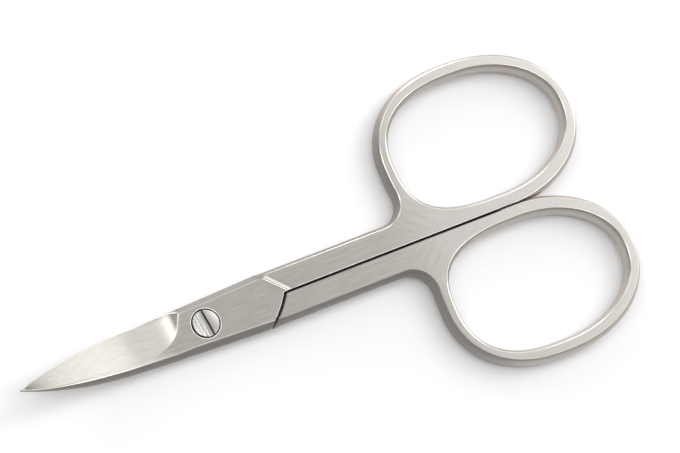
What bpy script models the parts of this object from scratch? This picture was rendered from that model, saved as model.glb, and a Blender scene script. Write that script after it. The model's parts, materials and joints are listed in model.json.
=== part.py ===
"""Curved nail scissors: two forged halves that turn on one slotted screw.

The scissors lie closed and flat, with the handles on Z = 0, the blades toward -X and their tips
curving up. The origin is under the middle of the whole pair. Metres, +Z up.

Each half is drawn in its own half coordinates (x, v, h), and the lower half is the upper half
turned over:
x runs along the scissors from the screw, and is negative on the blade,
v runs across from the split between the shanks, and is positive toward the half's finger loop,
h rises from the surface where the halves meet, and is positive toward the half's outer face.
"""

import math
from typing import NamedTuple

import bmesh
import bpy
from mathutils import Vector

MM = 0.001

# Whole pair
THICKNESS = 3.0 * MM
PARTING_GAP = 0.3 * MM
SPLIT_GAP = 0.3 * MM
CUT_OVERRUN = 2.0 * MM

# Blade
BLADE_LENGTH = 28.15 * MM
BLADE_ROOT = 5.0 * MM
BLADE_WIDTH = 6.86 * MM
BLADE_BULGE = 0.6 * MM
TIP_WIDTH = 0.16 * MM
CURVE_RADIUS = 60.0 * MM
SPINE_TIP_THICKNESS = 0.2 * MM
EDGE_ROOT_THICKNESS = 0.2 * MM
EDGE_TIP_THICKNESS = 0.1 * MM
TAPER_POWER = 2.3
BULGE_POWER = 7.0

# Grind rim, where the ground face of the blade meets the flat top of the pivot box
RIM_EDGE = 3.0 * MM
RIM_LEAN = 2.3 * MM
RIM_SWEEP = 6.0 * MM
RIM_SWEEP_POWER = 5.3
RIM_LAND = 0.8 * MM
PLUNGE_LENGTH = 2.2 * MM

# Pivot box, a step lower than the shanks, and its convex slanted end
BOX_STEP = 0.35 * MM
BOX_WIDTH = 7.8 * MM
BOX_BULGE = 0.85 * MM
BOX_END = 11.95 * MM
BOX_END_LEAN = 0.642
BOX_END_RADIUS = 6.7 * MM
SHOULDER_FOOT = 12.3 * MM
SHOULDER_RUN = 1.1 * MM
SHOULDER_LEAN = 0.91

# Shank and finger loop
SHANK_WIDTH = 3.2 * MM
SHANK_BULGE = 0.95 * MM
CROTCH_RADIUS = 3.75 * MM
HOLE_X = 47.0 * MM
HOLE_LENGTH = 26.98 * MM
HOLE_WIDTH = 18.7 * MM
RIM_FRONT = 1.01 * MM
RIM_REAR = 1.21 * MM
RIM_SIDE = 1.19 * MM
RIM_SPLIT = 1.5 * MM
LOOP_BULGE = 0.7 * MM
LOOP_DIP = 0.05 * MM
HOLE_FRONT_POWER = 2.645
HOLE_REAR_POWER = 2.08
LOOP_FRONT_POWER = 2.45
LOOP_ROOT_POWER = 3.2
LOOP_REAR_POWER = 2.1

# Pivot screw
HEAD_DIAMETER = 3.76 * MM
HEAD_THICKNESS = 0.57 * MM
HEAD_DOME = 0.1 * MM
HEAD_CHAMFER = 0.07 * MM
HEAD_SINK = 0.03 * MM
HEAD_CLEARANCE = 0.1 * MM
SLOT_WIDTH = 0.75 * MM
SLOT_DEPTH = 0.35 * MM
SLOT_ANGLE = math.radians(7.5)
SHAFT_DIAMETER = 2.5 * MM
SHAFT_CLEARANCE = 0.05 * MM
THREAD_DIAMETER = 2.0 * MM
THREAD_CLEARANCE = 0.05 * MM
SCREW_PLAY = 0.1 * MM

# Mesh density
BLADE_ROWS = 14
PLUNGE_ROWS = 4
LAND_ROWS = 3
BOX_ROWS = 4
LAP_ROWS = 17
BOX_END_ROWS = 8
CROTCH_ROWS = 8
LOOP_ROWS = 52
HOLE_ROWS = 52
SCREW_SIDES = 40
BISECTIONS = 30
CONTACT_SAMPLES = 400
ACROSS_SHARES = (0.0, 0.25, 0.5, 0.7, 0.85, 1.0)
DOME_SHARES = (0.35, 0.7)
WALL_ANGLE = math.radians(60)
WALL_ANGLE_SHARES = (1.0, 2 / 3, 1 / 3, 0.0, -1 / 3, -2 / 3, -1.0)
SMOOTH_ANGLE = math.radians(30)

# Heights and places that follow from the sizes above
HALF_THICKNESS = THICKNESS / 2
HALF_PARTING = PARTING_GAP / 2
HALF_SPLIT = SPLIT_GAP / 2
BOX_HEIGHT = HALF_THICKNESS - BOX_STEP
BOX_FRONT = RIM_EDGE - RIM_LAND
BOX_BACK = SHOULDER_FOOT - SHOULDER_LEAN * SHANK_WIDTH
REACH = SHANK_WIDTH + SHANK_BULGE + CUT_OVERRUN
HEAD_RIM_Z = THICKNESS - BOX_STEP - HEAD_SINK
HEAD_UNDERSIDE_Z = HEAD_RIM_Z - HEAD_THICKNESS
RECESS_FLOOR_Z = HEAD_UNDERSIDE_Z - SCREW_PLAY
SHAFT_END_Z = HALF_THICKNESS - HALF_PARTING + SCREW_PLAY
THREAD_END_Z = BOX_STEP + HEAD_SINK


class EdgePoint(NamedTuple):
    """A corner of an outer face, with the bulge of the wall below it and the face's height."""

    x: float
    v: float
    bulge: float
    height: float


class Oval(NamedTuple):
    """A superellipse whose front, rear and near front quarters have powers of their own."""

    x: float
    v: float
    half_length: float
    half_width: float
    front_power: float
    rear_power: float
    root_power: float

    def at(self, angle):
        """Point at an angle, which starts at the rear and turns toward +v."""
        cosine = math.cos(angle)
        sine = math.sin(angle)
        power = self.rear_power
        if cosine < 0:
            power = self.front_power if sine > 0 else self.root_power
        along = math.copysign(abs(cosine) ** (2 / power), cosine)
        across = math.copysign(abs(sine) ** (2 / power), sine)
        return self.x + self.half_length * along, self.v + self.half_width * across


def finger_hole():
    """The finger hole's edge on the flat faces."""
    middle = HALF_SPLIT + RIM_SPLIT + HOLE_WIDTH / 2
    half_length = HOLE_LENGTH / 2
    return Oval(HOLE_X, middle, half_length, HOLE_WIDTH / 2,
                HOLE_FRONT_POWER, HOLE_REAR_POWER, HOLE_FRONT_POWER)


def loop_outside():
    """The loop's outer edge on the flat faces, which dips just under the split face."""
    hole = finger_hole()
    front = hole.x - hole.half_length - RIM_FRONT
    rear = hole.x + hole.half_length + RIM_REAR
    near = HALF_SPLIT - LOOP_DIP
    far = hole.v + hole.half_width + RIM_SIDE
    return Oval((front + rear) / 2, (near + far) / 2, (rear - front) / 2, (far - near) / 2,
                LOOP_FRONT_POWER, LOOP_REAR_POWER, LOOP_ROOT_POWER)


LOOP = loop_outside()
HOLE = finger_hole()
PIVOT_X = (BLADE_LENGTH - (LOOP.x + LOOP.half_length + LOOP_BULGE)) / 2


def lerp(start, end, share):
    """Value between start and end."""
    return start + (end - start) * share


def limited(share):
    """A share held between 0 and 1."""
    return min(max(share, 0.0), 1.0)


def spread(start, end, count):
    """Even steps from start, one step short of end."""
    return [lerp(start, end, step / count) for step in range(count)]


def middle_z(x):
    """World height of the surface where the halves meet, which curves up along the blades."""
    run = max(-BLADE_ROOT - x, 0.0)
    return HALF_THICKNESS + CURVE_RADIUS - math.sqrt(CURVE_RADIUS ** 2 - run ** 2)


def placer(side, layer):
    """Function that turns half coordinates into the object's own coordinates."""
    def place(x, v, h):
        return Vector((x, side * v, middle_z(x) + layer * h))
    return place


def tip_share(x):
    """0 where the blade starts to taper, 1 at its tip."""
    return limited((-BLADE_ROOT - x) / (BLADE_LENGTH - BLADE_ROOT))


def side_bulge(x):
    """How far the side wall of the blade or box swells past its outer face."""
    blade = BLADE_BULGE * (1 - tip_share(x) ** BULGE_POWER)
    return lerp(blade, BOX_BULGE, limited((x + BLADE_ROOT) / (BLADE_ROOT - BOX_FRONT)))


def face_half_width(x):
    """Half width of the outer face of the blade and box."""
    leaf = lerp(TIP_WIDTH, BLADE_WIDTH, 1 - tip_share(x) ** TAPER_POWER)
    back_share = limited((x + BLADE_ROOT) / (BOX_BACK + BLADE_ROOT))
    return lerp(leaf, BOX_WIDTH, back_share ** 2) / 2 - side_bulge(x)


def rim_x(across):
    """Place of the grind rim, for a share across the blade from cutting edge to spine."""
    return -(RIM_EDGE + RIM_LEAN * across + RIM_SWEEP * across ** RIM_SWEEP_POWER)


def face_height(x, across):
    """Height of the outer face: flat on the box, then a scooped plunge, then the ground blade."""
    rim = rim_x(across)
    if x >= rim:
        return BOX_HEIGHT
    spine_share = limited((rim_x(1.0) - x) / (rim_x(1.0) + BLADE_LENGTH))
    edge_share = limited((rim_x(0.0) - x) / (rim_x(0.0) + BLADE_LENGTH))
    spine = lerp(BOX_HEIGHT, HALF_PARTING + SPINE_TIP_THICKNESS, spine_share)
    edge = HALF_PARTING + lerp(EDGE_ROOT_THICKNESS, EDGE_TIP_THICKNESS, edge_share)
    ground = lerp(edge, spine, across)
    plunge = limited(1 - (rim - x) / PLUNGE_LENGTH)
    return lerp(ground, BOX_HEIGHT, plunge ** 2)


def blade_column(across):
    """Corners of the blade's outer face from the tip to the box, for a share across it."""
    rim = rim_x(across)
    places = spread(-BLADE_LENGTH, rim - PLUNGE_LENGTH, BLADE_ROWS)
    places += spread(rim - PLUNGE_LENGTH, rim, PLUNGE_ROWS)
    places += spread(rim, -BOX_FRONT, LAND_ROWS)
    places.append(-BOX_FRONT)
    return [EdgePoint(x, face_half_width(x) * (1 - 2 * across), side_bulge(x), face_height(x, across))
            for x in places]


def shoulder_corner(offset, v, bulge, height):
    """Corner on a line across the half that leans like the shoulder."""
    return EdgePoint(SHOULDER_FOOT + offset - SHOULDER_LEAN * v, v, bulge, height)


def crotch_centre():
    """Centre of the fillet between shank and loop, and the loop's angle where they touch."""
    v = SHANK_WIDTH + CROTCH_RADIUS
    angles = [lerp(math.pi / 2, 3 * math.pi / 2, step / CONTACT_SAMPLES) for step in range(CONTACT_SAMPLES)]
    contour = [(LOOP.at(angle), angle) for angle in angles]
    low = LOOP.x - LOOP.half_length - 3 * CROTCH_RADIUS
    high = LOOP.x - LOOP.half_length + CROTCH_RADIUS
    touch = math.pi
    for _ in range(BISECTIONS):
        x = (low + high) / 2
        distance, touch = min((math.dist((x, v), point), angle) for point, angle in contour)
        if distance > CROTCH_RADIUS:
            low = x
        else:
            high = x
    return low, v, touch


def loop_side():
    """Corners from the crotch fillet round the outside of the loop to the split."""
    x, v, touch = crotch_centre()
    touch_x, touch_v = LOOP.at(touch)
    end_angle = math.atan2(touch_v - v, touch_x - x)
    points = []
    for step in range(CROTCH_ROWS):
        share = step / CROTCH_ROWS
        angle = lerp(-math.pi / 2, end_angle, share)
        points.append(EdgePoint(x + CROTCH_RADIUS * math.cos(angle), v + CROTCH_RADIUS * math.sin(angle),
                                lerp(SHANK_BULGE, LOOP_BULGE, share), HALF_THICKNESS))
    for step in range(LOOP_ROWS + 1):
        loop_x, loop_v = LOOP.at(lerp(touch, -math.pi / 2, step / LOOP_ROWS))
        points.append(EdgePoint(loop_x, loop_v, LOOP_BULGE, HALF_THICKNESS))
    return points


def hole_side():
    """Corners of the finger hole, in the sense that keeps the metal on the same hand."""
    points = []
    for step in range(HOLE_ROWS):
        x, v = HOLE.at(math.tau * step / HOLE_ROWS)
        points.append(EdgePoint(x, v, LOOP_BULGE, HALF_THICKNESS))
    return points


def wall_rings(bm, place, points):
    """Rings of vertices from the outer face down a bulging side wall to the far face."""
    flat_share = math.cos(WALL_ANGLE)
    rings = []
    for angle_share in WALL_ANGLE_SHARES:
        angle = WALL_ANGLE * angle_share
        height_share = math.sin(angle) / math.sin(WALL_ANGLE)
        bulge_share = (math.cos(angle) - flat_share) / (1 - flat_share)
        ring = []
        for index, point in enumerate(points):
            before = Vector((points[index - 1].x, points[index - 1].v))
            after = Vector((points[(index + 1) % len(points)].x, points[(index + 1) % len(points)].v))
            here = Vector((point.x, point.v))
            along = (here - before).normalized() + (after - here).normalized()
            outward = Vector((-along.y, along.x)).normalized()
            spot = here + outward * point.bulge * bulge_share
            height = point.height if angle > 0 else HALF_THICKNESS
            ring.append(bm.verts.new(place(spot.x, spot.y, height * height_share)))
        rings.append(ring)
    return rings


def band_faces(bm, rings):
    """Faces between neighbouring closed rings."""
    faces = []
    for upper, lower in zip(rings, rings[1:]):
        for index in range(len(upper)):
            following = (index + 1) % len(upper)
            faces.append(bm.faces.new((upper[index], upper[following], lower[following], lower[index])))
    return faces


def grid_faces(bm, columns):
    """Faces between neighbouring columns of vertices."""
    faces = []
    for first, second in zip(columns, columns[1:]):
        for row in range(len(first) - 1):
            faces.append(bm.faces.new((first[row], second[row], second[row + 1], first[row + 1])))
    return faces


def fill(bm, outlines):
    """Flat faces inside the first outline and outside the others."""
    edges = []
    for outline in outlines:
        for index, vertex in enumerate(outline):
            pair = (outline[index - 1], vertex)
            edges.append(bm.edges.get(pair) or bm.edges.new(pair))
    bmesh.ops.triangle_fill(bm, use_beauty=True, edges=edges)


def forging(place):
    """One half as a full-thickness blank, before the lap, the split and the screw's holes."""
    near = blade_column(0.0)
    far = blade_column(1.0)
    foot_height = BOX_HEIGHT
    box_places = spread(-BOX_FRONT, BOX_BACK, BOX_ROWS)[1:]
    box_side = [EdgePoint(x, face_half_width(x), side_bulge(x), foot_height) for x in box_places]
    foot_v = face_half_width(BOX_BACK)
    foot = shoulder_corner(0, foot_v, BOX_BULGE, foot_height)
    crest = shoulder_corner(SHOULDER_RUN, SHANK_WIDTH, SHANK_BULGE, HALF_THICKNESS)
    drop = EdgePoint(LOOP.x - SHANK_WIDTH, -SHANK_WIDTH, SHANK_BULGE, HALF_THICKNESS)
    far_crest = shoulder_corner(SHOULDER_RUN, -SHANK_WIDTH, SHANK_BULGE, HALF_THICKNESS)
    far_foot = shoulder_corner(0, -foot_v, BOX_BULGE, foot_height)
    far_side = [point._replace(v=-point.v) for point in reversed(box_side)]

    outline = near + box_side + [foot, crest] + loop_side() + [drop, far_crest, far_foot]
    outline += far_side + far[::-1]
    blade_count = len(near)
    foot_index = blade_count + len(box_side)
    crest_index = foot_index + 1
    far_crest_index = outline.index(far_crest)
    far_front_index = len(outline) - blade_count

    bm = bmesh.new()
    rings = wall_rings(bm, place, outline)
    hole_rings = wall_rings(bm, place, hole_side())
    faces = band_faces(bm, rings) + band_faces(bm, hole_rings)

    top = rings[0]
    columns = [top[1:blade_count]]
    for across in ACROSS_SHARES[1:-1]:
        columns.append([bm.verts.new(place(point.x, point.v, point.height))
                        for point in blade_column(across)[1:]])
    columns.append(top[-2:far_front_index - 1:-1])
    faces += grid_faces(bm, columns)
    faces.append(bm.faces.new([column[0] for column in columns] + [top[-1], top[0]]))
    front_row = [column[-1] for column in columns]
    bm.faces.new(front_row[1:-1] + top[far_front_index:far_crest_index:-1]
                 + top[foot_index:blade_count - 2:-1])
    bm.faces.new((top[foot_index], top[crest_index], top[far_crest_index], top[far_crest_index + 1]))
    fill(bm, [top[crest_index:far_crest_index + 1], hole_rings[0]])

    under = rings[-1]
    faces += grid_faces(bm, [under[:blade_count], under[:far_front_index - 1:-1]])
    fill(bm, [under[blade_count - 1:far_front_index + 1], hole_rings[-1]])
    bmesh.ops.triangulate(bm, faces=faces)
    bmesh.ops.recalc_face_normals(bm, faces=bm.faces)
    return bm


def new_object(name, bm, material=None):
    """Object from a bmesh, with its origin on the screw's axis and its round walls smooth."""
    mesh = bpy.data.meshes.new(name)
    bm.to_mesh(mesh)
    bm.free()
    mesh.shade_smooth()
    mesh.set_sharp_from_angle(angle=SMOOTH_ANGLE)
    if material:
        mesh.materials.append(material)
    thing = bpy.data.objects.new(name, mesh)
    thing.location.x = PIVOT_X
    bpy.context.scene.collection.objects.link(thing)
    return thing


def cut(target, name, bm):
    """Take a closed shape out of an object with a Boolean modifier."""
    cutter = new_object(f"cut_{name}", bm)
    cutter.hide_render = True
    cutter.display_type = "WIRE"
    modifier = target.modifiers.new(name, "BOOLEAN")
    modifier.operation = "DIFFERENCE"
    modifier.solver = "EXACT"
    modifier.object = cutter


def prism(place, outline, caps, low, high):
    """Closed prism over an outline. Each cap lists the corners of one face of its ends."""
    bm = bmesh.new()
    rings = [[bm.verts.new(place(x, v, h)) for x, v in outline] for h in (low, high)]
    band_faces(bm, rings)
    for ring in rings:
        for cap in caps:
            bm.faces.new([ring[index] for index in cap])
    bmesh.ops.recalc_face_normals(bm, faces=bm.faces)
    return bm


def box_end(down, gap):
    """Point on the convex end of the box, a distance down from the split, set off by a gap."""
    slope = BOX_END_LEAN + down / BOX_END_RADIUS
    x = BOX_END - BOX_END_LEAN * down - down ** 2 / (2 * BOX_END_RADIUS)
    outward = Vector((1.0, -slope)).normalized() * gap
    return x + outward.x, HALF_SPLIT - down + outward.y


def split_shape(place):
    """What parts this half's shank from the other's: all behind the box end and past the split."""
    rear = LOOP.x + LOOP.half_length + CUT_OVERRUN
    outline = [box_end(down, 0) for down in spread(0, REACH, BOX_END_ROWS)]
    outline.append(box_end(REACH, 0))
    outline += [(rear, outline[-1][1]), (rear, HALF_SPLIT)]
    return prism(place, outline, [range(len(outline))],
                 -HALF_THICKNESS - CUT_OVERRUN, HALF_THICKNESS + CUT_OVERRUN)


def lap_shape(place):
    """What laps the halves: all under the meeting surface in front of the shank's end."""
    stations = spread(-BLADE_LENGTH - CUT_OVERRUN, -BLADE_ROOT, LAP_ROWS) + [-BLADE_ROOT]
    shank_end = [box_end(down, SPLIT_GAP) for down in spread(-CUT_OVERRUN, REACH, BOX_END_ROWS)]
    shank_end.append(box_end(REACH, SPLIT_GAP))
    shank_end = [(x, -v) for x, v in reversed(shank_end)]
    outline = [(x, shank_end[0][1]) for x in stations] + shank_end
    outline += [(shank_end[-1][0], -REACH)] + [(x, -REACH) for x in reversed(stations)]
    last = len(outline) - 1
    caps = [(row, row + 1, last - row - 1, last - row) for row in range(LAP_ROWS)]
    caps.append(range(LAP_ROWS, last - LAP_ROWS + 1))
    return prism(place, outline, caps, -HALF_THICKNESS - CUT_OVERRUN, HALF_PARTING)


def turned(profile):
    """Closed solid of revolution about Z, from a profile of (radius, z) between its two poles."""
    bm = bmesh.new()
    poles = [bm.verts.new((0, 0, z)) for radius, z in (profile[0], profile[-1])]
    rings = []
    for radius, z in profile[1:-1]:
        turns = [math.tau * side / SCREW_SIDES for side in range(SCREW_SIDES)]
        rings.append([bm.verts.new((radius * math.cos(turn), radius * math.sin(turn), z)) for turn in turns])
    band_faces(bm, rings)
    for pole, ring in zip(poles, (rings[0], rings[-1])):
        for index, vertex in enumerate(ring):
            bm.faces.new((pole, ring[index - 1], vertex))
    bmesh.ops.recalc_face_normals(bm, faces=bm.faces)
    return bm


def cylinder(radius, low, high):
    """Round cutter on the screw's axis."""
    return turned([(0, low), (radius, low), (radius, high), (0, high)])


def steel(name, colour, roughness):
    """Bare steel."""
    material = bpy.data.materials.new(name)
    material.use_nodes = True
    shader = material.node_tree.nodes["Principled BSDF"]
    shader.inputs["Base Color"].default_value = (*colour, 1.0)
    shader.inputs["Metallic"].default_value = 1.0
    shader.inputs["Roughness"].default_value = roughness
    return material


def make_half(name, side, layer, material):
    """A half of the scissors without its screw holes."""
    place = placer(side, layer)
    half = new_object(name, forging(place), material)
    cut(half, f"{name}_lap", lap_shape(place))
    cut(half, f"{name}_split", split_shape(place))
    return half


def make_screw(material):
    """Slotted screw: domed head, plain shaft and threaded end, drawn as its plain diameter."""
    head = HEAD_DIAMETER / 2
    shaft = SHAFT_DIAMETER / 2
    thread = THREAD_DIAMETER / 2
    dome_edge = head - HEAD_CHAMFER
    dome = [(dome_edge * share, HEAD_RIM_Z + HEAD_DOME * (1 - share ** 2)) for share in DOME_SHARES]
    profile = [(0, HEAD_RIM_Z + HEAD_DOME), *dome, (dome_edge, HEAD_RIM_Z),
               (head, HEAD_RIM_Z - HEAD_CHAMFER), (head, HEAD_UNDERSIDE_Z), (shaft, HEAD_UNDERSIDE_Z),
               (shaft, SHAFT_END_Z), (thread, SHAFT_END_Z), (thread, THREAD_END_Z), (0, THREAD_END_Z)]
    screw = new_object("pivot_screw", turned(profile), material)

    slot = bmesh.new()
    floor = HEAD_RIM_Z - SLOT_DEPTH
    bmesh.ops.create_cube(slot, size=1.0)
    for vertex in slot.verts:
        across = SLOT_WIDTH * vertex.co.x
        along = 2 * HEAD_DIAMETER * vertex.co.y
        turned_x = across * math.cos(SLOT_ANGLE) - along * math.sin(SLOT_ANGLE)
        turned_y = across * math.sin(SLOT_ANGLE) + along * math.cos(SLOT_ANGLE)
        vertex.co = (turned_x, turned_y, floor if vertex.co.z < 0 else THICKNESS + CUT_OVERRUN)
    cut(screw, "driver_slot", slot)
    return screw


def main():
    """Model the three pieces."""
    for thing in list(bpy.data.objects):
        bpy.data.objects.remove(thing, do_unlink=True)
    satin = steel("satin_steel", (0.62, 0.61, 0.58), 0.3)
    bright = steel("bright_steel", (0.75, 0.74, 0.71), 0.15)

    upper = make_half("upper_half", 1, 1, satin)
    lower = make_half("lower_half", -1, -1, satin)
    top = THICKNESS + CUT_OVERRUN
    cut(upper, "shaft_hole", cylinder(SHAFT_DIAMETER / 2 + SHAFT_CLEARANCE, 0, top))
    cut(upper, "head_recess", cylinder(HEAD_DIAMETER / 2 + HEAD_CLEARANCE, RECESS_FLOOR_Z, top))
    cut(lower, "thread_hole", cylinder(THREAD_DIAMETER / 2 + THREAD_CLEARANCE, -CUT_OVERRUN, top))
    make_screw(bright)


main()
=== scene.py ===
"""Curved nail scissors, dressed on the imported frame.

The two forged halves are rebuilt as fine meshes with softened edges and satin steel, and the screw
gets its domed, slotted head and its thread. Lengths are in metres, +Z up, in the frame's own axes.

Each half is drawn in half coordinates (x, v, h), and the lower half is the upper half turned over:
x runs along the scissors from the screw, and is negative on the blade,
v runs across from the split between the shanks, and is positive toward the half's finger loop,
h rises from the surface where the halves meet, and is positive toward the half's outer face.
"""

import json
import logging
import math
from dataclasses import dataclass, field
from enum import Enum
from typing import Callable, Iterable, Mapping, NamedTuple, Optional, Sequence, Union

import bmesh
import bpy
from mathutils import Matrix, Quaternion, Vector


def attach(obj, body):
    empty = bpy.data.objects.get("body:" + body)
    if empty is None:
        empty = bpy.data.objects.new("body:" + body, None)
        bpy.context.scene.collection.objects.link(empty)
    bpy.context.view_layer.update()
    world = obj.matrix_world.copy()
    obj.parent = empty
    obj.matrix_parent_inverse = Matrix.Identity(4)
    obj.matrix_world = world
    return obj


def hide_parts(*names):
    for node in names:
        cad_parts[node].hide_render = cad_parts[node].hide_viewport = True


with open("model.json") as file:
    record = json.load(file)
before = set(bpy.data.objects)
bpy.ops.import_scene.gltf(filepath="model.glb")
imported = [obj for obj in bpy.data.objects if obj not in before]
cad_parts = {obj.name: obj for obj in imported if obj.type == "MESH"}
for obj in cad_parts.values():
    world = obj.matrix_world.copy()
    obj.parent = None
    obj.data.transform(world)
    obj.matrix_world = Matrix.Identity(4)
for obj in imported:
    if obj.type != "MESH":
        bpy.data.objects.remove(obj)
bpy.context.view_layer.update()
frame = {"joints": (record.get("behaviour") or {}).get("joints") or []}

log = logging.getLogger("nail_scissors")

MM = 0.001
PIVOT = Vector(frame["joints"][0]["pos_m"])
# The screw stands a little off the middle of its recess.
SCREW = PIVOT + Vector((0.055, 0.025, 0.0)) * MM
SLOT_ANGLE = math.radians(6.5)
# Two faces of a wall, two flat faces, or two faces of the screw show an edge from these angles on.
WALL_CREASE = math.radians(28)
FLAT_CREASE = math.radians(7)
SCREW_CREASE = math.radians(25)
HALVINGS = 40

Ring = list[bmesh.types.BMVert]
Feed = Union[bpy.types.NodeSocket, bpy.types.Material, float, int, Sequence[float]]


def lerp(start: float, end: float, share: float) -> float:
    """Value between start and end."""
    return start + (end - start) * share


def limited(share: float) -> float:
    """A share held between 0 and 1."""
    return min(max(share, 0.0), 1.0)


def spread(start: float, end: float, count: int) -> list[float]:
    """Even steps from start, one step short of end."""
    return [lerp(start, end, step / count) for step in range(count)]


def ring(bm: bmesh.types.BMesh, middle: Sequence[float], radius: float, height: float, sides: int) -> Ring:
    """Vertices round an upright axis.

    Args:
        bm: The mesh that gets them.
        middle: The axis, by its x and y first.
        radius: Their distance from it.
        height: Their height.
        sides: How many there are.

    Returns:
        The vertices in order.
    """
    return [bm.verts.new((middle[0] + radius * math.cos(turn), middle[1] + radius * math.sin(turn), height))
            for turn in spread(0, math.tau, sides)]


def crossing(low: float, high: float, holds: Callable[[float], bool]) -> float:
    """Find by halving where a condition stops holding.

    Args:
        low: A value at which it holds.
        high: A value at which it doesn't hold.
        holds: The condition.

    Returns:
        The value at which it stops holding.
    """
    for _ in range(HALVINGS):
        middle = (low + high) / 2
        if holds(middle):
            low = middle
        else:
            high = middle
    return (low + high) / 2


class Tree:
    """A node tree under construction."""

    def __init__(self, tree: bpy.types.NodeTree) -> None:
        """Take over an empty or default tree."""
        self.tree = tree

    def add(self, kind: str, feeds: Optional[Mapping[Union[str, int], Feed]] = None,
            **settings: object) -> bpy.types.Node:
        """Add a node.

        Args:
            kind: The node's type.
            feeds: For each input by name or number, an output to join to it or a value of its own.
            **settings: The node's own settings.

        Returns:
            The new node.
        """
        node = self.tree.nodes.new(kind)
        for name, value in settings.items():
            setattr(node, name, value)
        for key, feed in (feeds or {}).items():
            if isinstance(feed, bpy.types.NodeSocket):
                self.tree.links.new(feed, node.inputs[key])
            else:
                node.inputs[key].default_value = feed
        return node

    def join(self, source: bpy.types.NodeSocket, target: bpy.types.NodeSocket) -> None:
        """Join an output to an input."""
        self.tree.links.new(source, target)

    def math(self, operation: str, *feeds: Feed) -> bpy.types.NodeSocket:
        """Add a sum on numbers and return its result."""
        return self.add("ShaderNodeMath", dict(enumerate(feeds)), operation=operation).outputs[0]

    def vector(self, x: Feed, y: Feed, z: Feed) -> bpy.types.NodeSocket:
        """Join three numbers to a vector."""
        return self.add("ShaderNodeCombineXYZ", {0: x, 1: y, 2: z}).outputs[0]

    def parts(self, vector: bpy.types.NodeSocket) -> Sequence[bpy.types.NodeSocket]:
        """Split a vector into three numbers."""
        return self.add("ShaderNodeSeparateXYZ", {0: vector}).outputs

    def mix(self, share: Feed, first: Feed, second: Feed) -> bpy.types.NodeSocket:
        """Blend two numbers."""
        return self.add("ShaderNodeMix", {0: share, 2: first, 3: second}).outputs[0]

    def mix_colour(self, share: Feed, first: Feed, second: Feed) -> bpy.types.NodeSocket:
        """Blend two colours."""
        return self.add("ShaderNodeMix", {0: share, 6: first, 7: second}, data_type="RGBA").outputs[2]

    def ramp(self, value: Feed, start: float, end: float, low: float = 0.0, high: float = 1.0,
             soft: bool = False) -> bpy.types.NodeSocket:
        """Turn a value's way from start to end into one from low to high, which it doesn't leave.

        Args:
            value: The value.
            start: Where the way starts.
            end: Where it ends, on either side of start.
            low: The result up to start.
            high: The result from end on.
            soft: True for a way that sets off and arrives slowly.

        Returns:
            The result.
        """
        return self.add("ShaderNodeMapRange", {0: value, 1: start, 2: end, 3: low, 4: high},
                        interpolation_type="SMOOTHSTEP" if soft else "LINEAR").outputs[0]

    def mark(self, name: str) -> bpy.types.NodeSocket:
        """Read a number that the mesh holds for each face."""
        return self.add("ShaderNodeAttribute", attribute_name=name).outputs["Fac"]


class Workshop(Tree):
    """A Geometry Nodes tree with named inputs, which is run once and leaves a plain mesh."""

    def __init__(self, name: str, inputs: Mapping[str, str]) -> None:
        """Start a tree.

        Args:
            name: The tree's name.
            inputs: For each input after the geometry, its name and socket type.
        """
        tree = bpy.data.node_groups.new(name, "GeometryNodeTree")
        tree.interface.new_socket("Geometry", in_out="OUTPUT", socket_type="NodeSocketGeometry")
        self.keys = {}
        sockets = {"Geometry": "NodeSocketGeometry", **inputs, "Material": "NodeSocketMaterial"}
        for label, kind in sockets.items():
            self.keys[label] = tree.interface.new_socket(label, in_out="INPUT", socket_type=kind).identifier
        super().__init__(tree)
        self.given = tree.nodes.new("NodeGroupInput").outputs

    def end(self, geometry: bpy.types.NodeSocket) -> None:
        """End the tree with real geometry in one material.

        Args:
            geometry: The result of the nodes before.
        """
        real = self.add("GeometryNodeRealizeInstances", {"Geometry": geometry})
        dressed = self.add("GeometryNodeSetMaterial",
                           {"Geometry": real.outputs[0], "Material": self.given["Material"]})
        self.add("NodeGroupOutput", {0: dressed.outputs[0]})

    def run(self, name: str, mesh: bpy.types.Mesh, values: Mapping[str, Feed]) -> bpy.types.Object:
        """Run the tree on a mesh.

        Args:
            name: The name of the object that is made.
            mesh: What goes in.
            values: A value for each named input.

        Returns:
            An object that holds the result as a plain mesh.
        """
        thing = bpy.data.objects.new(name, mesh)
        bpy.context.scene.collection.objects.link(thing)
        modifier = thing.modifiers.new(name, "NODES")
        modifier.node_group = self.tree
        for label, value in values.items():
            modifier[self.keys[label]] = value
        thing.update_tag()
        graph = bpy.context.evaluated_depsgraph_get()
        made = bpy.data.meshes.new_from_object(thing.evaluated_get(graph))
        thing.modifiers.remove(modifier)
        thing.data = made
        made.name = name
        return thing


class Layer(Enum):
    """Which half it is: its side of the split, and whether its outer face looks up or down."""

    UPPER = 1
    LOWER = -1


class Corner(NamedTuple):
    """A corner of an outer face, with what the side wall below it needs.

    The wall is rounded. It swells by bulge from where it meets a face at full height, and where the
    face has been ground lower, the corner stands further out on the same wall.
    """

    x: float
    v: float
    height: float
    bulge: float = 0.0
    pull: Optional[tuple[float, float]] = None
    full: Optional[float] = None


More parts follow.
